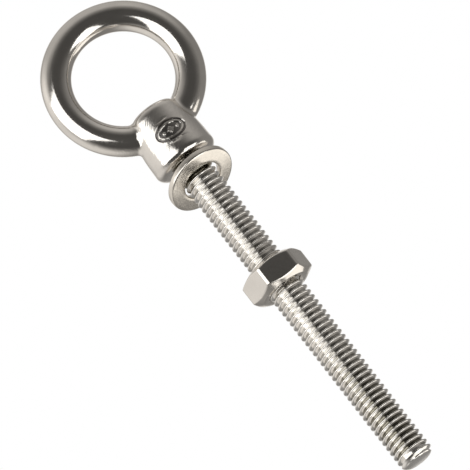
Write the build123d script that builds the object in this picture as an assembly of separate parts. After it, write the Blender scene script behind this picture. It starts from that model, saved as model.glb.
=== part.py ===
from build123d import *

import math
import os

# M6 eye bolt with a long threaded shank, a loose flat washer and a hex nut.
# Frame: millimetres. Z is the thread's axis, with the eye at +Z and the shank's
# tip at -Z. The ring lies in the XZ plane, so a shackle or rope passes through it
# along Y. The front of the collar, which carries the oval medallion, faces -Y.
# Origin: on the thread's axis, in the plane of the collar's seat.

# ---- driving dimensions ----
pitch = 1.0                 # M6 coarse thread
crest_radius = 2.94         # outside of the shank's thread
root_radius = 2.36
crest_share = 0.125         # flat crest, as a share of the pitch
shank_length = 60.0         # seat to tip
tip_chamfer = 0.85
spigot_radius = 2.25        # plain top of the shank, pressed into the head
spigot_length = 7.0

ring_inner_diameter = 16.1
bar_diameter = 4.9
ring_centre_height = 17.4   # above the seat

# collar: squares with bulging sides (height, half width in X, half width in Y)
collar_sections = [
    (0.0, 5.62, 5.55),
    (1.3, 5.66, 5.42),
    (4.8, 5.32, 4.85),
    (6.9, 4.80, 4.50),
    (8.9, 4.33, 4.12),
    (10.9, 3.90, 3.72),
]
corner_share = 0.80         # corner radius of each section, as a share of its lesser half width
seat_edge_radius = 1.25
dome_radius = 10.0          # the collar's top inside the eye
dome_height = 10.85
crown_radius = 0.8
blend_radius = 0.45         # where the ring's bar runs into the collar

medallion_height = 4.8      # its centre, above the seat
medallion_width = 5.3
medallion_tall = 3.5
medallion_line = 0.34       # width of the oval line
medallion_depth = 0.18
mark_relief = 0.12          # the lozenge and dots stand this far above their ground
lozenge_side = 0.9
dot_radius = 0.26
dot_offset = 1.25           # each dot's centre from the lozenge's

washer_outer_diameter = 11.7
washer_hole_diameter = 6.6
washer_thickness = 1.1
washer_edge_radius = 0.25
washer_hole_edge_radius = 0.25
washer_drop = 3.04          # seat to the washer's centre
washer_tilt = 20.0          # degrees, front edge up, leaning on the shank
washer_side_tilt = 3.5      # degrees

nut_across_flats = 9.8
nut_corner_radius = 0.9
nut_height = 4.6
nut_drop = 20.9             # seat to the nut's upper face
nut_face_diameter = 8.2     # flat end face inside the 30 degree chamfer
nut_chamfer_angle = 30.0
nut_turn = 0.5              # degrees, one corner from +X
nut_minor_radius = 2.56
nut_major_radius = 3.08
nut_flank_play = 0.09       # radial room between the two threads' flanks
nut_mouth_radius = 3.25     # countersink at both ends

FLANK_ANGLE = 30.0


def thread_outline(inner, outer, outer_share, lowest, highest):
    """Half section of a stack of V ridges, one at each whole pitch, as (radius, height) points."""
    half_crest = pitch * outer_share / 2
    flank_rise = (outer - inner) * math.tan(math.radians(FLANK_ANGLE))
    points = []
    for ridge in range(lowest, highest + 1):
        height = ridge * pitch
        points += [
            (inner, height - half_crest - flank_rise),
            (outer, height - half_crest),
            (outer, height + half_crest),
            (inner, height + half_crest + flank_rise),
        ]
    return points


def turned(points):
    """Revolve a half section, given as (radius, height) points, about the thread's axis."""
    return revolve(Plane.XZ * make_face(Polyline(*points, close=True)), Axis.Z)


def make_collar(inset=0.0):
    """The collar's body from seat to dome, or the same body inset all round."""
    outlines = []
    for height, half_x, half_y in collar_sections:
        corner = corner_share * min(half_x, half_y) - inset
        outline = RectangleRounded(2 * (half_x - inset), 2 * (half_y - inset), corner)
        outlines.append(Plane.XY.offset(height) * outline)
    dome = Pos(0, 0, dome_height - dome_radius) * Sphere(dome_radius)
    return loft(outlines) & dome


def make_eye_head():
    """Cast ring and collar in one piece, with a blind bore for the shank."""
    collar = make_collar()
    seat_edge = collar.edges().group_by(Axis.Z)[0]
    collar = fillet(seat_edge, seat_edge_radius)
    widest_section = max(half_x for height, half_x, half_y in collar_sections)
    crown_rim = dome_height - dome_radius + math.sqrt(dome_radius**2 - widest_section**2)
    crown = [edge for edge in collar.edges() if edge.center().Z > crown_rim]
    collar = fillet(crown, crown_radius)

    ring_radius = (ring_inner_diameter + bar_diameter) / 2
    ring = Pos(0, 0, ring_centre_height) * Rot(90, 0, 0) * Torus(ring_radius, bar_diameter / 2)
    head = collar + ring
    head = blend_ring(head, ring_radius)
    head -= stamped()
    bore = Cylinder(spigot_radius, spigot_length, align=(Align.CENTER, Align.CENTER, Align.MIN))
    return head - bore


def blend_ring(head, ring_radius):
    """Round off the seam where each leg of the ring leaves the collar."""
    collar_top = collar_sections[-1][0]
    seam = [
        edge
        for edge in head.edges()
        if abs(edge.center().X) > bar_diameter / 2
        and seat_edge_radius < edge.center().Z < collar_top + blend_radius
        and on_ring(edge, ring_radius)
    ]
    return fillet(seam, blend_radius) if seam else head


def on_ring(edge, ring_radius):
    """Does the whole edge lie on the ring's surface?"""
    tolerance = 0.02
    shares_along_edge = (0.1, 0.35, 0.6, 0.9)
    for share in shares_along_edge:
        p = edge.position_at(share)
        from_centre = math.hypot(p.X, p.Z - ring_centre_height)
        off = math.hypot(from_centre - ring_radius, p.Y) - bar_diameter / 2
        if abs(off) > tolerance:
            return False
    return True


def stamped():
    """What the stamp takes out: an oval line, and the ground round a lozenge and two dots."""
    half_width = medallion_width / 2
    half_tall = medallion_tall / 2
    oval = Ellipse(half_width, half_tall)
    inner = Ellipse(half_width - medallion_line, half_tall - medallion_line)
    field = Ellipse(half_width - 2 * medallion_line, half_tall - 2 * medallion_line)
    dots = [Pos(side * dot_offset, 0) * Circle(dot_radius) for side in (-1, 1)]
    mark = Rectangle(lozenge_side, lozenge_side, rotation=45) + dots
    line = front_prism(oval - inner) - make_collar(medallion_depth)
    ground = front_prism(field - mark) - make_collar(mark_relief)
    return line + ground


def front_prism(sketch):
    """Extrude a sketch straight through the collar's front half, at the medallion's height."""
    half_depth = collar_sections[0][2]
    inside = Plane(origin=(0, -half_depth / 2, medallion_height), x_dir=(1, 0, 0), z_dir=(0, -1, 0))
    return extrude(inside * sketch, amount=half_depth)


def make_stud():
    """Fully threaded shank with a chamfered tip, and a plain spigot for the head's bore."""
    ridges = thread_outline(root_radius, crest_radius, crest_share, -round(shank_length / pitch), -1)
    ridges = [point for point in ridges if point[1] > -shank_length]
    stud = turned(
        [(0, -shank_length), (root_radius, -shank_length)]
        + ridges
        + [(root_radius, 0), (spigot_radius, 0), (spigot_radius, spigot_length), (0, spigot_length)]
    )
    tip_radius = crest_radius - tip_chamfer
    margin = 1.0
    return stud - turned(
        [
            (tip_radius - margin, -shank_length - margin),
            (crest_radius + margin, -shank_length - margin),
            (crest_radius + margin, -shank_length + tip_chamfer + margin),
        ]
    )


def make_washer():
    """Stamped flat washer. It hangs loose, leaning on the shank with its front edge up."""
    outer = washer_outer_diameter / 2
    hole = washer_hole_diameter / 2
    profile = Pos((outer + hole) / 2, 0) * Rectangle(outer - hole, washer_thickness)
    corners = profile.vertices().group_by(Axis.X)
    profile = fillet(corners[-1], washer_edge_radius)
    profile = fillet(profile.vertices().group_by(Axis.X)[0], washer_hole_edge_radius)
    washer = revolve(Plane.XZ * profile, Axis.Z)
    return Pos(0, 0, -washer_drop) * Rot(-washer_tilt, -washer_side_tilt, 0) * washer


def end_cutter(start_radius, end_radius, level, rise, up):
    """A ring-shaped cutter whose cone leaves start_radius at the given level and rises inwards or outwards."""
    beyond = level - up
    return turned(
        [
            (start_radius, beyond),
            (start_radius, level),
            (end_radius, level + up * rise),
            (end_radius, beyond),
        ]
    )


def make_nut():
    """Hex nut with a 30 degree chamfer at both ends and a real M6 thread in mesh with the shank."""
    low = -nut_drop - nut_height
    high = -nut_drop
    hexagon = RegularPolygon(nut_across_flats / 2, 6, major_radius=False)
    hexagon = fillet(hexagon.vertices(), nut_corner_radius)
    body = extrude(Pos(0, 0, low) * Rot(0, 0, nut_turn) * hexagon, amount=nut_height)

    face_radius = nut_face_diameter / 2
    past_corners = nut_across_flats / math.sqrt(3) + nut_corner_radius
    chamfer_rise = (past_corners - face_radius) * math.tan(math.radians(nut_chamfer_angle))
    mouth_depth = nut_mouth_radius - nut_minor_radius
    for level, up in ((low, 1), (high, -1)):
        body -= end_cutter(face_radius, past_corners, level, chamfer_rise, up)

    flank_slope = 2 * math.tan(math.radians(FLANK_ANGLE)) / pitch
    groove_share = crest_share + flank_slope * (nut_flank_play + crest_radius - nut_major_radius)
    first = math.floor(low / pitch) - 1
    last = math.ceil(high / pitch) + 1
    grooves = thread_outline(nut_minor_radius, nut_major_radius, groove_share, first, last)
    body -= turned([(0, grooves[0][1])] + grooves + [(0, grooves[-1][1])])
    for level, up in ((low, 1), (high, -1)):
        mouth = Cone(nut_mouth_radius, nut_minor_radius, mouth_depth)
        body -= Pos(0, 0, level + up * mouth_depth / 2) * Rot(0 if up > 0 else 180, 0, 0) * mouth
    return body


os.makedirs("parts", exist_ok=True)
nodes = {
    "eye_head": make_eye_head,
    "threaded_stud": make_stud,
    "flat_washer": make_washer,
    "hex_nut": make_nut,
}
for name, build in nodes.items():
    export_step(build(), f"parts/{name}.step")
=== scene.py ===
import math

import bmesh
import bpy
import numpy as np
from mathutils import Matrix, Vector


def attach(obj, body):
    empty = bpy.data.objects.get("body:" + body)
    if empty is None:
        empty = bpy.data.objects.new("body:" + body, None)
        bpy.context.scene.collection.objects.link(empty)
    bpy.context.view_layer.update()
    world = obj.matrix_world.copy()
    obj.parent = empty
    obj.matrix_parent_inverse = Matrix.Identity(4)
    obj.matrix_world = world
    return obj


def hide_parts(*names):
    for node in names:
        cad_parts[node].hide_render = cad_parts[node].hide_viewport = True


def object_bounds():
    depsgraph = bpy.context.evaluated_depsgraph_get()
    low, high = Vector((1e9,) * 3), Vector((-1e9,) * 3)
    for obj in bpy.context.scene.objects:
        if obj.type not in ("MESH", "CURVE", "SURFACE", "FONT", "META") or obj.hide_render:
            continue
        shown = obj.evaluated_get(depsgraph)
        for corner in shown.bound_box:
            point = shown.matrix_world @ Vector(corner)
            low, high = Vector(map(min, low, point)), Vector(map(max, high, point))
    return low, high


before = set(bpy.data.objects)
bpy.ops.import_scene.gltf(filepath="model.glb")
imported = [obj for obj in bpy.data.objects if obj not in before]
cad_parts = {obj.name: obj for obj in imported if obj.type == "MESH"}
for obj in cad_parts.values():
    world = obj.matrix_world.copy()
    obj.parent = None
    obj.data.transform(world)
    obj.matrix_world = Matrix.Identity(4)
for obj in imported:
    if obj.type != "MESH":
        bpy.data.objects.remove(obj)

cad_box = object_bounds()
MM = 0.001                 # sizes below are in millimetres


# ---------------------------------------------------------------------------
# Eye head: ring and collar, cast in one piece of stainless steel and polished
# until every corner is soft. The collar's four faces bulge and still carry fine
# belt lines, and an oval with a plain mark is stamped into the front one.
# ---------------------------------------------------------------------------
ring_inside = 16.1
ring_bar = 4.85
ring_height = 17.4
ring_radius = (ring_inside + ring_bar) / 2
ring_melt = 0.55           # how softly the bar runs into the collar
# distance of the collar's faces from its axis, by height: side faces, then front and back
collar_heights = [-1.0, 0.0, 1.0, 2.6, 4.8, 6.9, 8.9, 11.0]
collar_side = [5.66, 5.66, 5.63, 5.60, 5.30, 4.78, 4.32, 3.85]
collar_front = [5.55, 5.50, 5.42, 5.17, 4.83, 4.50, 4.18, 3.85]
face_bulge = 5.4           # radius of each face across its width
corner_ease = 0.22
seat_radius = 1.3          # round under the collar, which starts at a crease
seat_crease = 1.0          # height of that crease
seat_ease = 0.06
dome_height = 10.85
dome_drop = 0.05           # fall of the dome for each square millimetre from its middle
crown_ease = 0.9
head_cell = 0.30           # grid that the head's skin is found on
stamp_height = 4.8
stamp_wide, stamp_tall = 5.3, 3.5
stamp_line = 0.34          # width of the oval line
stamp_depth = 0.18
stamp_ease = 0.07          # width of the slope at each edge of the stamp
ground_depth = 0.16        # of the ground round the lozenge and dots
lozenge_reach = 0.45       # from its middle to each side
dot_radius, dot_offset = 0.26, 1.25


def smooth_min(a, b, width):
    """The lower of two distances, with the crease between them rounded off."""
    h = np.clip(0.5 + 0.5 * (b - a) / width, 0.0, 1.0)
    return b + (a - b) * h - width * h * (1.0 - h)


def smooth_max(a, b, width):
    return -smooth_min(-a, -b, width)


def ring_distance(x, y, z):
    from_centre = np.hypot(x, z - ring_height)
    return np.hypot(from_centre - ring_radius, y) - ring_bar / 2


def collar_distance(x, y, z):
    side = np.interp(z, collar_heights, collar_side)
    front = np.interp(z, collar_heights, collar_front)
    across_x = np.hypot(np.abs(x) + face_bulge - side, y) - face_bulge
    across_y = np.hypot(x, np.abs(y) + face_bulge - front) - face_bulge
    faces = smooth_max(across_x, across_y, corner_ease)
    # the seat's round: how far a point lies outside an arc that meets the faces at the crease
    below = np.minimum(z - seat_radius, 0.0)
    inward = seat_radius * math.cos(math.asin(1 - seat_crease / seat_radius))
    edge_side = np.interp(seat_crease, collar_heights, collar_side)
    edge_front = np.interp(seat_crease, collar_heights, collar_front)
    edge = smooth_max(
        np.hypot(np.abs(x) + face_bulge - edge_side, y) - face_bulge,
        np.hypot(x, np.abs(y) + face_bulge - edge_front) - face_bulge,
        corner_ease,
    )
    seat = np.hypot(np.maximum(edge + inward, 0.0), below) - seat_radius
    crown = z - dome_height + dome_drop * (x * x + y * y)
    return smooth_max(smooth_max(faces, seat, seat_ease), crown, crown_ease)


def head_distance(x, y, z):
    return smooth_min(ring_distance(x, y, z), collar_distance(x, y, z), ring_melt)


def skin_of(distance, low, high, cell):
    """A closed quad mesh of the surface where a distance field is zero, by surface nets."""
    counts = np.ceil((high - low) / cell).astype(int) + 1
    axes = [low[i] + cell * np.arange(counts[i]) for i in range(3)]
    grid = np.meshgrid(*axes, indexing="ij")
    field = distance(*grid)
    inside = field < 0
    total = np.zeros(tuple(counts - 1) + (3,))
    crossings = np.zeros(tuple(counts - 1))
    corner_of = [(i, j, k) for i in (0, 1) for j in (0, 1) for k in (0, 1)]

    def block(values, corner):
        return values[tuple(slice(c, counts[i] - 1 + c) for i, c in enumerate(corner))]

    for a in corner_of:
        for axis in range(3):
            if a[axis]:
                continue
            b = tuple(1 if i == axis else c for i, c in enumerate(a))
            fa, fb = block(field, a), block(field, b)
            crossed = (fa < 0) != (fb < 0)
            share = np.where(crossed, fa / np.where(crossed, fa - fb, 1.0), 0.0)
            for i in range(3):
                total[..., i] += np.where(crossed, share if i == axis else float(a[i]), 0.0)
            crossings += crossed
    used = crossings > 0
    index = -np.ones(used.shape, int)
    index[used] = np.arange(used.sum())
    where = np.argwhere(used)
    points = low + cell * (where + total[used] / crossings[used][:, None])
    faces = []
    for axis in range(3):
        u, v = (axis + 1) % 3, (axis + 2) % 3
        first = [slice(1, -1)] * 3
        first[axis] = slice(0, -1)
        second = [slice(1, -1)] * 3
        second[axis] = slice(1, None)
        near, far = inside[tuple(first)], inside[tuple(second)]
        for entering in (True, False):
            spots = np.argwhere((near != far) & (far == entering))
            spots[:, u] += 1
            spots[:, v] += 1
            ring = []
            for du, dv in ((0, 0), (-1, 0), (-1, -1), (0, -1)):
                at = spots.copy()
                at[:, u] += du
                at[:, v] += dv
                ring.append(index[at[:, 0], at[:, 1], at[:, 2]])
            quad = np.stack(ring if not entering else ring[::-1], axis=1)
            faces.append(quad)
    return points, np.concatenate(faces)


def slope_of(distance, x, y, z, step=1e-3):
    """The field's slope along each axis."""
    steps = [
        distance(x + step, y, z) - distance(x - step, y, z),
        distance(x, y + step, z) - distance(x, y - step, z),
        distance(x, y, z + step) - distance(x, y, z - step),
    ]
    return np.stack(steps, axis=1) / (2 * step)


def settle(points, distance, rounds=6):
    """Move each point along the field's slope until it lies on the surface."""
    least_size = 0.05
    for _ in range(rounds):
        slope = slope_of(distance, *points.T)
        size = np.maximum((slope**2).sum(axis=1, keepdims=True), least_size)
        points = points - distance(*points.T)[:, None] * slope / size
    return points


def make_piece(name, points, faces, body, node, material):
    """A mesh piece from points in millimetres that rides on a body and stands for one CAD node."""
    mesh = bpy.data.meshes.new(name)
    mesh.from_pydata((np.asarray(points) * MM).tolist(), [], [list(map(int, f)) for f in faces])
    mesh.update()
    mesh.polygons.foreach_set("use_smooth", [True] * len(mesh.polygons))
    piece = bpy.data.objects.new(name, mesh)
    bpy.context.scene.collection.objects.link(piece)
    mesh.materials.append(material)
    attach(piece, body)
    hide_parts(node)
    return piece


def close_up(piece, sharp):
    """Weld coincident points, cap open ends, face every normal outwards and mark the true edges."""
    shape = bmesh.new()
    shape.from_mesh(piece.data)
    bmesh.ops.remove_doubles(shape, verts=shape.verts, dist=0.0002 * MM)
    bmesh.ops.dissolve_degenerate(shape, edges=shape.edges, dist=0.00001 * MM)
    loose = [v for v in shape.verts if not v.link_faces]
    bmesh.ops.delete(shape, geom=loose, context="VERTS")
    open_edges = [e for e in shape.edges if e.is_boundary]
    if open_edges:
        bmesh.ops.holes_fill(shape, edges=open_edges, sides=0)
    bmesh.ops.recalc_face_normals(shape, faces=shape.faces)
    for face in shape.faces:
        face.smooth = True
    shape.to_mesh(piece.data)
    shape.free()
    piece.data.set_sharp_from_angle(angle=math.radians(sharp))


def steel(name, tint, roughness, spread, grain, grain_height, wear=0.10):
    """Bare stainless steel: drifting tint and roughness, fine grain, brighter worn edges."""
    material = bpy.data.materials.new(name)
    material.use_nodes = True
    nodes, links = material.node_tree.nodes, material.node_tree.links
    shader = nodes["Principled BSDF"]
    shader.inputs["Metallic"].default_value = 1.0
    place = nodes.new("ShaderNodeTexCoord")

    cloud = nodes.new("ShaderNodeTexNoise")
    cloud.inputs["Scale"].default_value = 260.0
    cloud.inputs["Detail"].default_value = 4.0
    links.new(place.outputs["Object"], cloud.inputs["Vector"])
    fine = nodes.new("ShaderNodeTexNoise")
    fine.inputs["Scale"].default_value = grain
    fine.inputs["Detail"].default_value = 6.0
    fine.inputs["Roughness"].default_value = 0.62
    links.new(place.outputs["Object"], fine.inputs["Vector"])

    tints = nodes.new("ShaderNodeValToRGB")
    dull = tuple(0.93 * c for c in tint)
    bright = tuple(min(1.0, 1.04 * c) for c in tint)
    tints.color_ramp.elements[0].position = 0.32
    tints.color_ramp.elements[0].color = (*dull, 1)
    tints.color_ramp.elements[1].position = 0.68
    tints.color_ramp.elements[1].color = (*bright, 1)
    links.new(cloud.outputs["Fac"], tints.inputs["Fac"])

    edge = nodes.new("ShaderNodeNewGeometry")
    worn = nodes.new("ShaderNodeMapRange")
    worn.inputs["From Min"].default_value = 0.52
    worn.inputs["From Max"].default_value = 0.60
    worn.inputs["To Min"].default_value = 0.0
    worn.inputs["To Max"].default_value = 1.0
    links.new(edge.outputs["Pointiness"], worn.inputs["Value"])
    rubbed = nodes.new("ShaderNodeMix")
    rubbed.data_type = "RGBA"
    rubbed.inputs["B"].default_value = (*(min(1.0, c * (1 + wear)) for c in tint), 1)
    links.new(worn.outputs["Result"], rubbed.inputs["Factor"])
    links.new(tints.outputs["Color"], rubbed.inputs["A"])
    links.new(rubbed.outputs["Result"], shader.inputs["Base Color"])

    gloss = nodes.new("ShaderNodeMapRange")
    gloss.inputs["From Min"].default_value = 0.3
    gloss.inputs["From Max"].default_value = 0.7
    gloss.inputs["To Min"].default_value = roughness - spread
    gloss.inputs["To Max"].default_value = roughness + spread
    links.new(fine.outputs["Fac"], gloss.inputs["Value"])
    links.new(gloss.outputs["Result"], shader.inputs["Roughness"])

    bump = nodes.new("ShaderNodeBump")
    bump.inputs["Strength"].default_value = 1.0
    bump.inputs["Distance"].default_value = grain_height
    links.new(fine.outputs["Fac"], bump.inputs["Height"])
    links.new(bump.outputs["Normal"], shader.inputs["Normal"])
    return material


def paint_shade_over(material, amount, colour):
    """Paint shade over a material's colour, by an amount that a socket gives."""
    nodes, links = material.node_tree.nodes, material.node_tree.links
    shader = nodes["Principled BSDF"]
    painted_shade = nodes.new("ShaderNodeMix")
    painted_shade.data_type = "RGBA"
    links.new(amount, painted_shade.inputs["Factor"])
    links.new(shader.inputs["Base Color"].links[0].from_socket, painted_shade.inputs["A"])
    painted_shade.inputs["B"].default_value = (*colour, 1)
    links.new(painted_shade.outputs["Result"], shader.inputs["Base Color"])


def stamp_relief(x, z):
    """How deep the stamp goes: an oval line, and the ground round a lozenge and two dots."""
    def ease(distance):
        return np.clip(0.5 - distance / stamp_ease, 0.0, 1.0)

    def oval(width, tall):
        ratio = np.hypot(x / (width / 2), z / (tall / 2))
        return (ratio - 1.0) * min(width, tall) / 2

    inner = oval(stamp_wide - 2 * stamp_line, stamp_tall - 2 * stamp_line)
    line = np.maximum(oval(stamp_wide, stamp_tall), -inner)
    field = oval(stamp_wide - 4 * stamp_line, stamp_tall - 4 * stamp_line)
    lozenge = (np.abs(x) + np.abs(z)) / math.sqrt(2) - lozenge_reach
    dots = np.hypot(np.abs(x) - dot_offset, z) - dot_radius
    ground = np.maximum(field, -np.minimum(lozenge, dots))
    return np.maximum(stamp_depth * ease(line), ground_depth * ease(ground))


def stamp_front(piece, distance):
    """Swap the skin under the stamp for a fine patch that carries its relief, and sew the patch in."""
    shape = bmesh.new()
    shape.from_mesh(piece.data)
    stamp_shade = shape.verts.layers.float.new("stamp_shade")
    margin = 1.12
    half_wide, half_tall = margin * stamp_wide / 2, margin * stamp_tall / 2
    spare = 1.2 * head_cell

    def under(face):
        centre = face.calc_center_median() / MM
        sideways = centre.x / (half_wide + spare)
        upwards = (centre.z - stamp_height) / (half_tall + spare)
        return centre.y < 0 and math.hypot(sideways, upwards) < 1.0

    bmesh.ops.delete(shape, geom=[f for f in shape.faces if under(f)], context="FACES")
    rim_edges = [e for e in shape.edges if e.is_boundary]
    rings, sectors = 44, 132
    share = np.linspace(0.0, 1.0, rings + 1)[1:, None]
    turn = 2 * math.pi * np.arange(sectors)[None, :] / sectors
    x = np.append((half_wide * share * np.cos(turn)).ravel(), 0.0)
    z = np.append((half_tall * share * np.sin(turn)).ravel(), 0.0)
    relief = stamp_relief(x, z)
    z = z + stamp_height
    y = np.full_like(x, -collar_front[0])
    for _ in range(12):
        y = y + distance(x, y, z)
    slope = slope_of(distance, x, y, z)
    slope /= np.linalg.norm(slope, axis=1, keepdims=True)
    verts = [shape.verts.new(p * MM) for p in np.stack([x, y, z], axis=1) - slope * relief[:, None]]
    # each point keeps its depth as the amount of painted shade in the stamp's recess
    for vert, depth in zip(verts, relief):
        vert[stamp_shade] = depth / stamp_depth
    middle = verts[-1]
    circles = [verts[k * sectors:(k + 1) * sectors] for k in range(rings)]
    for i in range(sectors):
        j = (i + 1) % sectors
        shape.faces.new((middle, circles[0][j], circles[0][i]))
        for inner, outer in zip(circles, circles[1:]):
            shape.faces.new((inner[i], inner[j], outer[j], outer[i]))
    last = circles[-1]
    ring_edges = [shape.edges.get((last[i], last[(i + 1) % sectors])) for i in range(sectors)]
    bmesh.ops.triangle_fill(shape, edges=rim_edges + ring_edges, use_beauty=True, normal=(0, -1, 0))
    shape.to_mesh(piece.data)
    shape.free()


def brush_collar(material):
    """Fine slanting lines from a grinding belt, on the collar only."""
    nodes, links = material.node_tree.nodes, material.node_tree.links
    place = nodes.new("ShaderNodeTexCoord")
    slant = nodes.new("ShaderNodeMapping")
    slant.vector_type = "TEXTURE"
    slant.inputs["Rotation"].default_value = (0.0, math.radians(40.0), 0.0)
    slant.inputs["Scale"].default_value = (0.30 * MM, 0.30 * MM, 4.5 * MM)
    links.new(place.outputs["Object"], slant.inputs["Vector"])
    lines = nodes.new("ShaderNodeTexNoise")
    lines.inputs["Scale"].default_value = 1.0
    lines.inputs["Detail"].default_value = 2.0
    links.new(slant.outputs["Vector"], lines.inputs["Vector"])
    split = nodes.new("ShaderNodeSeparateXYZ")
    links.new(place.outputs["Object"], split.inputs["Vector"])
    below_ring = nodes.new("ShaderNodeMapRange")
    below_ring.inputs["From Min"].default_value = 9.5 * MM
    below_ring.inputs["From Max"].default_value = 7.5 * MM
    below_ring.inputs["To Max"].default_value = 0.022 * MM
    links.new(split.outputs["Z"], below_ring.inputs["Value"])
    height = nodes.new("ShaderNodeMath")
    height.operation = "MULTIPLY"
    links.new(lines.outputs["Fac"], height.inputs[0])
    links.new(below_ring.outputs["Result"], height.inputs[1])
    shader = nodes["Principled BSDF"]
    brushed = nodes.new("ShaderNodeBump")
    brushed.inputs["Distance"].default_value = 1.0
    links.new(height.outputs["Value"], brushed.inputs["Height"])
    links.new(shader.inputs["Normal"].links[0].from_socket, brushed.inputs["Normal"])
    links.new(brushed.outputs["Normal"], shader.inputs["Normal"])


polished = steel("polished_steel", (0.80, 0.77, 0.73), 0.13, 0.03, 2600.0, 0.004 * MM)
past_ring = ring_radius + ring_bar / 2 + 1.0
past_front = 6.5
head_low = np.array([-past_ring, -past_front, -1.0])
head_high = np.array([past_ring, past_front, ring_height + past_ring])
head_points, head_faces = skin_of(head_distance, head_low, head_high, head_cell)
head_points = settle(head_points, head_distance)
eye_head = make_piece(
    "eye_head_casting", head_points, head_faces, "bolt", "eye_head", polished
)
stamp_front(eye_head, head_distance)
brush_collar(polished)
# painted shade: the stamp's recess is darkened in step with its depth
in_stamp = polished.node_tree.nodes.new("ShaderNodeAttribute")
in_stamp.attribute_name = "stamp_shade"
paint_shade_over(polished, in_stamp.outputs["Fac"], (0.22, 0.21, 0.20))
close_up(eye_head, sharp=48.0)


# ---------------------------------------------------------------------------
# Threaded stud: stainless bar with a rolled M6 coarse thread, so crests and
# roots are slightly rounded, and a tip rounded off before rolling. It is fixed in
# the head's bore by a plain end. The thread's roots are painted darker as shade,
# unevenly, fully under the head and more near the tip.
# ---------------------------------------------------------------------------
pitch = 1.0
crest_radius = 2.94
root_radius = 2.36
stud_tip = -60.0
stud_top = 7.0
spigot_radius = 2.25
neck_slope = 0.6           # height over which the thread runs out under the head
tip_chamfer = 1.1          # how much the tip narrows
tip_round = 1.15           # and over what height
crest_share = 0.125        # flat crest, as a share of the pitch
thread_ease = 0.035
tip_ease = 0.05


def thread_radius(share, crest, root, flat_share, ease):
    """Radius of a V thread at a share of the pitch from its crest, with crest and root eased."""
    from_crest = np.abs((share + 0.5) % 1.0 - 0.5) * pitch
    flank = crest - (from_crest - flat_share * pitch / 2) / math.tan(math.radians(30))
    above_root = -smooth_min(-flank, np.full_like(flank, -root), ease)
    return smooth_min(above_root, np.full_like(flank, crest), ease)


def thread_skin(radius_at, steps, low, high):
    """Points and quads of a thread's surface. The rows follow the helix and end flat at both heights."""
    # where the rows lie between a crest and the next root, as shares of the pitch
    half = [0.0, 0.05, 0.085, 0.16, 0.25, 0.34, 0.40, 0.455]
    shares = np.array(half + [1.0 - s for s in half[:0:-1]])
    rows = len(shares)
    first = math.floor(low / pitch) - 2
    turns = math.ceil(high / pitch) + 2 - first
    along = np.tile(shares, turns) + np.repeat(np.arange(turns), rows)
    angle = 2 * math.pi * np.arange(steps) / steps
    height = (first + along[None, :] + angle[:, None] / (2 * math.pi)) * pitch
    flat_height = np.clip(height, low, high)
    radius = radius_at(np.broadcast_to(along[None, :] % 1.0, height.shape), flat_height)
    x, y = radius * np.cos(angle)[:, None], radius * np.sin(angle)[:, None]
    points = np.stack([x, y, flat_height], axis=2).reshape(-1, 3)
    faces = []
    for i in range(steps):
        last = i == steps - 1
        here, there = i * along.size, 0 if last else (i + 1) * along.size
        shift = rows if last else 0
        for j in range(along.size - 1 - shift):
            faces.append((here + j, there + j + shift, there + j + shift + 1, here + j + 1))
    return points, faces


def stud_radius(share, height):
    thread = thread_radius(share, crest_radius, root_radius, crest_share, thread_ease)
    neck = spigot_radius + np.maximum(neck_slope - height, 0.0)
    up = np.clip((height - stud_tip) / tip_round, 0.0, 1.0)
    nose = crest_radius - tip_chamfer * (1.0 - np.sqrt(1.0 - (1.0 - up) ** 2))
    return smooth_min(np.minimum(thread, neck), nose, tip_ease)


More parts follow.
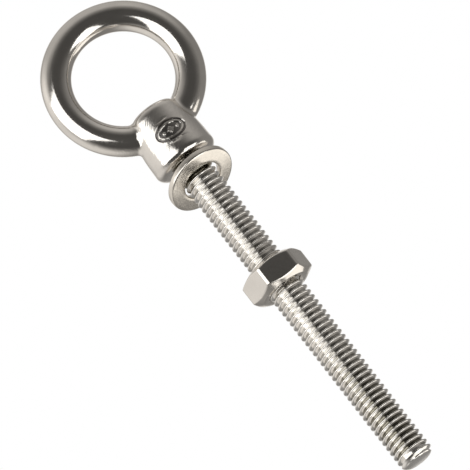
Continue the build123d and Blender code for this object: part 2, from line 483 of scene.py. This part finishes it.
def shade_thread_roots(material, root, crest, colour):
    """Paint shade into a thread's roots unevenly, wholly under the head, more near the tip, not on its
    nose.
    """
    nodes, links = material.node_tree.nodes, material.node_tree.links
    place = nodes.new("ShaderNodeTexCoord")
    flatten = nodes.new("ShaderNodeVectorMath")
    flatten.operation = "MULTIPLY"
    flatten.inputs[1].default_value = (1, 1, 0)
    links.new(place.outputs["Object"], flatten.inputs[0])
    radius = nodes.new("ShaderNodeVectorMath")
    radius.operation = "LENGTH"
    links.new(flatten.outputs["Vector"], radius.inputs[0])
    patches = nodes.new("ShaderNodeTexNoise")
    patches.inputs["Scale"].default_value = 900.0
    patches.inputs["Detail"].default_value = 3.0
    links.new(place.outputs["Object"], patches.inputs["Vector"])
    uneven = nodes.new("ShaderNodeMath")
    uneven.operation = "MULTIPLY_ADD"
    uneven.inputs[1].default_value = 0.5 * (crest - root) * MM
    links.new(patches.outputs["Fac"], uneven.inputs[0])
    links.new(radius.outputs["Value"], uneven.inputs[2])
    split = nodes.new("ShaderNodeSeparateXYZ")
    links.new(place.outputs["Object"], split.inputs["Vector"])
    towards_tip = nodes.new("ShaderNodeMapRange")
    towards_tip.inputs["From Min"].default_value = (stud_tip + 24) * MM
    towards_tip.inputs["From Max"].default_value = (stud_tip + 6) * MM
    towards_tip.inputs["To Max"].default_value = -0.28 * (crest - root) * MM
    links.new(split.outputs["Z"], towards_tip.inputs["Value"])
    nose = nodes.new("ShaderNodeMapRange")
    nose.inputs["From Min"].default_value = (stud_tip + 1.5) * MM
    nose.inputs["From Max"].default_value = (stud_tip + 1.0) * MM
    nose.inputs["To Max"].default_value = crest * MM
    links.new(split.outputs["Z"], nose.inputs["Value"])
    under_head = nodes.new("ShaderNodeMapRange")
    under_head.inputs["From Min"].default_value = -3.4 * MM
    under_head.inputs["From Max"].default_value = -2.4 * MM
    under_head.inputs["To Max"].default_value = -(crest - root) * MM
    links.new(split.outputs["Z"], under_head.inputs["Value"])
    level = uneven.outputs["Value"]
    for part in (towards_tip, nose, under_head):
        total = nodes.new("ShaderNodeMath")
        links.new(level, total.inputs[0])
        links.new(part.outputs["Result"], total.inputs[1])
        level = total.outputs["Value"]
    # painted shade: full in the roots, fading out towards the crests
    depth = nodes.new("ShaderNodeMapRange")
    depth.inputs["From Min"].default_value = (root + 0.10 * (crest - root)) * MM
    depth.inputs["From Max"].default_value = (root + 0.44 * (crest - root)) * MM
    depth.inputs["To Min"].default_value = 1.0
    depth.inputs["To Max"].default_value = 0.0
    links.new(level, depth.inputs["Value"])
    paint_shade_over(material, depth.outputs["Result"], colour)


stud_points, stud_faces = thread_skin(stud_radius, 48, stud_tip, stud_top)
rolled = steel("rolled_steel", (0.90, 0.88, 0.85), 0.17, 0.06, 3200.0, 0.005 * MM)
# painted shade in the thread's roots and on the shank under the head
shade_thread_roots(rolled, root_radius, crest_radius, (0.25, 0.235, 0.195))
stud = make_piece(
    "threaded_stud_bar", stud_points, stud_faces, "bolt", "threaded_stud", rolled
)
close_up(stud, sharp=50.0)


# ---------------------------------------------------------------------------
# Flat washer: stamped from stainless sheet, which rounds its edges and leaves it
# slightly dished. It hangs loose on the shank and leans with its front edge up.
# ---------------------------------------------------------------------------
washer_outer = 5.82
washer_hole = 3.3
washer_thick = 1.1
washer_drop = 3.04         # its centre, below the seat
washer_dish = 0.07         # rise of its rim for each millimetre of radius, left by the stamping
washer_lean = Matrix.Rotation(math.radians(-20.0), 3, "X") @ Matrix.Rotation(math.radians(-3.5), 3, "Y")


def lathe(profile, steps):
    """Revolve a closed half section of (radius, height) points about Z."""
    points, faces = [], []
    for i in range(steps):
        turn = 2 * math.pi * i / steps
        points += [(r * math.cos(turn), r * math.sin(turn), z) for r, z in profile]
    count = len(profile)
    for i in range(steps):
        here, there = i * count, ((i + 1) % steps) * count
        for j in range(count):
            k = (j + 1) % count
            faces.append((here + j, there + j, there + k, here + k))
    return points, faces


def rounded(corner_r, corner_z, radius, start, steps=5):
    """Points of a quarter round about a centre, counter-clockwise from a start angle in degrees."""
    return [
        (
            corner_r + radius * math.cos(math.radians(start + 90 * i / steps)),
            corner_z + radius * math.sin(math.radians(start + 90 * i / steps)),
        )
        for i in range(steps + 1)
    ]


rim, lip = 0.25, 0.25      # rounds at the outside and at the hole
middle_radius = 0.5 * (washer_outer + washer_hole)
face_out, face_in = middle_radius + 0.6, middle_radius - 0.6
washer_profile = (
    rounded(washer_outer - rim, rim, rim, -90)
    + rounded(washer_outer - rim, washer_thick - rim, rim, 0)
    + [(face_out, washer_thick), (face_in, washer_thick)]
    + rounded(washer_hole + lip, washer_thick - lip, lip, 90, 3)
    + rounded(washer_hole + lip, lip, lip, 180, 3)
    + [(face_in, 0.0), (face_out, 0.0)]
)
washer_points, washer_faces = lathe(washer_profile, 144)
for i, (x, y, z) in enumerate(washer_points):
    rise = washer_dish * (math.hypot(x, y) - middle_radius)
    dished = Vector((x, y, z - washer_thick / 2 + rise))
    washer_points[i] = washer_lean @ dished + Vector((0, 0, -washer_drop))
stamped = steel("stamped_steel", (0.80, 0.76, 0.70), 0.21, 0.05, 2200.0, 0.006 * MM)
washer = make_piece(
    "flat_washer_disc", washer_points, washer_faces, "washer", "flat_washer", stamped
)
close_up(washer, sharp=60.0)


# ---------------------------------------------------------------------------
# Hex nut: turned from hexagon bar and tapped, with a 30 degree chamfer at both
# ends that leaves curved edges on the flats, and a countersunk mouth.
# ---------------------------------------------------------------------------
nut_flats = 9.8
nut_corner = 0.7
nut_low, nut_high = -25.5, -20.9
nut_face = 4.1             # radius of the flat end face inside the chamfer
nut_mouth = 3.25           # radius of the countersink
nut_edge_ease = 0.16
groove_radius, ridge_radius = 3.08, 2.56
groove_share = 0.19        # flat bottom of the groove, as a share of the pitch
nut_thread_ease = 0.03
nut_turn = math.radians(0.5)
nut_steps = 192


def hexagon_radius(angle):
    """Distance from the axis to a hexagon with rounded corners."""
    off = angle % (math.pi / 3) - math.pi / 6
    flat = nut_flats / 2
    to_flat = flat / np.cos(off)
    corner_at = (flat - nut_corner) / math.cos(math.pi / 6)
    from_corner = math.pi / 6 - np.abs(off)
    across = corner_at * np.sin(from_corner)
    to_round = corner_at * np.cos(from_corner) + np.sqrt(np.maximum(nut_corner**2 - across**2, 0.0))
    on_round = np.abs(off) > math.atan((flat - nut_corner) * math.tan(math.pi / 6) / flat)
    return np.where(on_round, to_round, to_flat)


def nut_inside(share, height):
    thread = thread_radius(share, groove_radius, ridge_radius, groove_share, nut_thread_ease)
    from_end = np.minimum(height - nut_low, nut_high - height)
    return np.maximum(thread, nut_mouth - from_end)


# rows up the outside, close together where the chamfer curves across the flats
nut_height = nut_high - nut_low
end_rows = [0.0, 0.03, 0.08, 0.15, 0.24, 0.34, 0.44, 0.54, 0.64, 0.74, 0.86, 1.0, 1.2]
middle_rows = list(np.linspace(1.5, nut_height - 1.5, 6))
from_low = end_rows + middle_rows + [nut_height - row for row in reversed(end_rows)]
nut_angle = 2 * math.pi * np.arange(nut_steps) / nut_steps
hexagon = hexagon_radius(nut_angle - nut_turn)
end_circles = [np.full(nut_steps, r) for r in (nut_mouth, 0.5 * (nut_mouth + nut_face))]
rings = [(circle, nut_low) for circle in end_circles]
for rise in from_low:
    from_end = min(rise, nut_height - rise)
    cone = nut_face + from_end / math.tan(math.radians(30))
    rings.append((smooth_min(hexagon, np.full(nut_steps, cone), nut_edge_ease), nut_low + rise))
rings += [(circle, nut_high) for circle in reversed(end_circles)]
outer_points = np.concatenate(
    [np.stack([r * np.cos(nut_angle), r * np.sin(nut_angle), np.full(nut_steps, z)], 1) for r, z in rings]
)
nut_faces = []
for k in range(len(rings) - 1):
    here, there = k * nut_steps, (k + 1) * nut_steps
    for i in range(nut_steps):
        j = (i + 1) % nut_steps
        nut_faces.append((here + i, here + j, there + j, there + i))
inner_points, inner_faces = thread_skin(nut_inside, nut_steps, nut_low, nut_high)
nut_points = np.concatenate([outer_points, inner_points])
nut_faces += [tuple(len(outer_points) + v for v in f) for f in inner_faces]
machined = steel("machined_steel", (0.80, 0.77, 0.73), 0.16, 0.04, 2400.0, 0.004 * MM)
nut = make_piece("hex_nut_body", nut_points, nut_faces, "nut", "hex_nut", machined)
close_up(nut, sharp=38.0)


# ---------------------------------------------------------------------------
# Studio: a white sweep, two large soft boxes in front of the bolt and one under
# it, a grey room that is darkest behind the camera, and a pale floor at the tip.
# ---------------------------------------------------------------------------
def direction(azimuth, elevation):
    """Unit vector towards an azimuth (0 is the bolt's front, 90 its right side) and an elevation."""
    a, e = math.radians(azimuth), math.radians(elevation)
    return Vector((math.sin(a) * math.cos(e), -math.cos(a) * math.cos(e), math.sin(e)))


back = direction(-12.5, -16.5)
across = Vector((0, 0, 1)).cross(back).normalized()
along = back.cross(across).normalized()
roll = math.radians(37.72)
right = across * math.cos(roll) - along * math.sin(roll)
up = across * math.sin(roll) + along * math.cos(roll)
aim = Vector((-0.30, 3.87, -12.54)) * MM
frame_width = 0.0726
stand_off = 1.4
sensor_width = 36.0

camera_data = bpy.data.cameras.new("camera")
camera_data.sensor_width = sensor_width
camera_data.lens = sensor_width * stand_off / frame_width
camera = bpy.data.objects.new("camera", camera_data)
turned = Matrix((right, up, back)).transposed().to_4x4()
camera.matrix_world = Matrix.Translation(aim + back * stand_off) @ turned
bpy.context.scene.collection.objects.link(camera)
bpy.context.scene.camera = camera


def soft_box(name, azimuth, elevation, width, height, brightness, colour):
    """A rectangular lamp that faces the bolt, with its height upright as far as it can be."""
    distance = 0.6
    data = bpy.data.lights.new(name, "AREA")
    data.shape = "RECTANGLE"
    data.size, data.size_y = width, height
    data.energy = brightness * math.pi * width * height
    data.color = colour
    lamp = bpy.data.objects.new(name, data)
    way = direction(azimuth, elevation)
    lamp.location = aim + way * distance
    lamp.rotation_mode = "QUATERNION"
    lamp.rotation_quaternion = way.to_track_quat("Z", "Y")
    bpy.context.scene.collection.objects.link(lamp)


soft_box("left_soft_box", -50.0, 11.0, 0.80, 0.55, 1.7, (1.0, 0.995, 0.98))
soft_box("right_soft_box", 36.0, -54.0, 0.42, 0.46, 1.7, (1.0, 0.99, 0.96))
soft_box("low_soft_box", 115.0, -62.0, 0.46, 0.62, 1.05, (1.0, 0.96, 0.89))

world = bpy.data.worlds.new("studio")
bpy.context.scene.world = world
world.use_nodes = True
room, wires = world.node_tree.nodes, world.node_tree.links
room.clear()
gaze = room.new("ShaderNodeTexCoord")


def ramp_towards(way, start, end, amount):
    """A soft step of light that rises as the gaze turns towards a direction."""
    dot = room.new("ShaderNodeVectorMath")
    dot.operation = "DOT_PRODUCT"
    dot.inputs[1].default_value = way
    wires.new(gaze.outputs["Generated"], dot.inputs[0])
    step = room.new("ShaderNodeMapRange")
    step.interpolation_type = "SMOOTHSTEP"
    step.inputs["From Min"].default_value = start
    step.inputs["From Max"].default_value = end
    step.inputs["To Max"].default_value = amount
    wires.new(dot.outputs["Value"], step.inputs["Value"])
    return step.outputs["Result"]


def combine(operation, first, second):
    math_node = room.new("ShaderNodeMath")
    math_node.operation = operation
    for socket, value in zip(math_node.inputs, (first, second)):
        if isinstance(value, float):
            socket.default_value = value
        else:
            wires.new(value, socket)
    return math_node.outputs["Value"]


# a dim room, lighter to the left and overhead, dark behind the camera, white behind the bolt
sides = combine("ADD", 0.17, ramp_towards(-across, 0.30, 0.85, 0.55))
sides = combine("ADD", sides, ramp_towards(along, 0.15, 0.80, 0.25))
sides = combine("MULTIPLY", sides, ramp_towards(-back, -0.75, 0.10, 1.0))
sides = combine("ADD", sides, ramp_towards(-back, 0.84, 0.98, 0.60))
light = combine("ADD", sides, 0.07)
surround = room.new("ShaderNodeBackground")
surround.inputs["Color"].default_value = (1.0, 0.965, 0.92, 1)
wires.new(light, surround.inputs["Strength"])
# the camera sees the white sweep, and everything else sees the room
sweep = room.new("ShaderNodeBackground")
sweep.inputs["Color"].default_value = (1, 1, 1, 1)
seen = room.new("ShaderNodeLightPath")
choose = room.new("ShaderNodeMixShader")
wires.new(seen.outputs["Is Camera Ray"], choose.inputs["Fac"])
wires.new(surround.outputs["Background"], choose.inputs[1])
wires.new(sweep.outputs["Background"], choose.inputs[2])
shown = room.new("ShaderNodeOutputWorld")
wires.new(choose.outputs["Shader"], shown.inputs["Surface"])
bpy.context.scene.view_settings.view_transform = "Standard"

floor_mesh = bpy.data.meshes.new("floor")
reach = 2.0
floor_level = cad_box[0][2] - 0.2 * MM
corners = [(-reach, -reach), (reach, -reach), (reach, reach), (-reach, reach)]
floor_mesh.from_pydata([(x, y, floor_level) for x, y in corners], [], [(0, 1, 2, 3)])
floor = bpy.data.objects.new("floor", floor_mesh)
bpy.context.scene.collection.objects.link(floor)
floor.visible_shadow = floor.visible_glossy = floor.visible_diffuse = False
pale = bpy.data.materials.new("pale_floor")
pale.use_nodes = True
floor_mesh.materials.append(pale)
pale_nodes, pale_links = pale.node_tree.nodes, pale.node_tree.links
pale_nodes["Principled BSDF"].inputs["Base Color"].default_value = (0.86, 0.86, 0.85, 1)
pale_nodes["Principled BSDF"].inputs["Roughness"].default_value = 0.7
under = pale_nodes.new("ShaderNodeNewGeometry")
clear = pale_nodes.new("ShaderNodeBsdfTransparent")
one_sided = pale_nodes.new("ShaderNodeMixShader")
pale_links.new(under.outputs["Backfacing"], one_sided.inputs["Fac"])
pale_links.new(pale_nodes["Principled BSDF"].outputs["BSDF"], one_sided.inputs[1])
pale_links.new(clear.outputs["BSDF"], one_sided.inputs[2])
pale_links.new(one_sided.outputs["Shader"], pale_nodes["Material Output"].inputs["Surface"])
